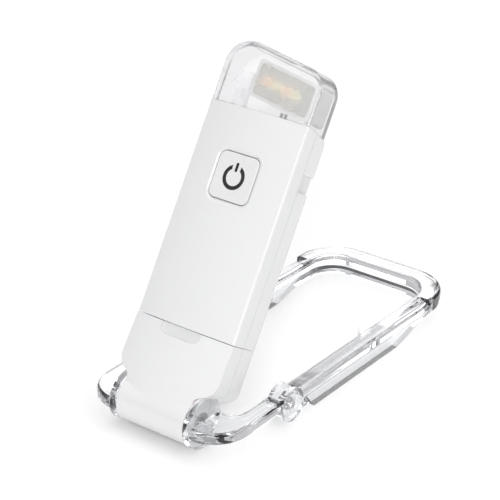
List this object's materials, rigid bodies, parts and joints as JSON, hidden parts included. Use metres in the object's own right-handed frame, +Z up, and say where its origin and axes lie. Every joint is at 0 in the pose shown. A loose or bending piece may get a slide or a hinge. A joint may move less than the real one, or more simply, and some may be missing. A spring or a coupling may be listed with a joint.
{
  "type": "clip-on reading light",
  "caption": "Rechargeable stick reading light with a clear LED head, hinged on a clear sprung loop clip, with a USB plug under its base cap.",
  "frame": {"origin": "on the surface the clip lies on, under the middle of the clip's length and width", "axes": "+X along the hinge axle, to the right seen from the lamp's front; +Y from the hinge to the clip's far bar; +Z up"},
  "size_m": [0.0416, 0.1, 0.081],
  "materials": {
    "white_shell": "glossy moulded ABS",
    "button_white": "glossy moulded ABS",
    "icon_grey": "dark plated inlay",
    "black_plastic": "matte moulded",
    "switch_plunger": "matte moulded",
    "circuit_board": "solder mask over glass laminate",
    "steel": "turned steel",
    "capacitor": "ceramic body with tinned ends",
    "battery_foil": "aluminium laminate pouch",
    "foam": "closed-cell foam",
    "lead_sheath": "PVC insulation",
    "plug_steel": "nickel plated sheet",
    "white_inner": "plain moulded ABS",
    "contact_gold": "gold flashed",
    "clear_inner": "clear polycarbonate",
    "clear_plastic": "clear polycarbonate, polished",
    "tray_white": "white reflector ABS",
    "frosted": "frosted acrylic",
    "led_board_white": "white solder mask on aluminium",
    "led_warm": "amber phosphor in silicone",
    "led_cool": "yellow phosphor in silicone",
    "sleeve_grey": "acetal",
    "spring_steel": "spring wire"
  },
  "bodies": {
    "clip": {"clip_frame": "clear_plastic", "hinge_axle": "steel", "jaw_pin_left": "steel", "jaw_pin_right": "steel", "jaw_spring_left": "spring_steel", "jaw_spring_right": "spring_steel"},
    "jaw": {"clip_jaw": "clear_plastic"},
    "base_cap": {"cap_front": "white_shell", "cap_back": "white_shell", "plug_sleeve": "white_inner", "friction_sleeve": "sleeve_grey"},
    "lamp": {"front_shell": "white_shell", "back_shell": "white_shell", "tact_switch": "black_plastic", "control_board": "circuit_board", "board_screws": "steel", "charge_chip": "black_plastic", "driver_chip": "black_plastic", "board_capacitors": "capacitor", "battery": "battery_foil", "battery_pad": "foam", "battery_leads": "lead_sheath", "led_leads": "lead_sheath", "usb_plug_shell": "plug_steel", "usb_tongue": "white_inner", "usb_contacts": "contact_gold", "head_base": "clear_inner", "head_cover": "clear_plastic", "led_tray": "tray_white", "diffuser": "frosted", "led_board": "led_board_white", "warm_leds": "led_warm", "cool_leds": "led_cool"},
    "button": {"power_button": "button_white", "power_icon": "icon_grey", "tact_plunger": "switch_plunger"}
  },
  "joints": [
    {"name": "lamp_tilt", "type": "hinge", "parent": "clip", "child": "base_cap", "pos_m": [0, -0.044, 0.006], "axis": [1, 0, 0], "range_deg": [-50.5, 122]},
    {"name": "lamp_pull", "type": "slide", "parent": "base_cap", "child": "lamp", "axis": [0, 0.5299, 0.848], "range_m": [0, 0.014]},
    {"name": "button_press", "type": "slide", "parent": "lamp", "child": "button", "axis": [0, 0.848, -0.5299], "range_m": [0, 0.0003], "stiffness_N_per_m": 800, "springref_m": -0.0015},
    {"name": "jaw_open", "type": "hinge", "parent": "clip", "child": "jaw", "pos_m": [0, -0.0225, 0.0043], "axis": [-1, 0, 0], "range_deg": [0, 16], "stiffness_Nm_per_rad": 0.12, "springref_deg": -28.65, "deforming": ["jaw_spring_left", "jaw_spring_right"]}
  ]
}
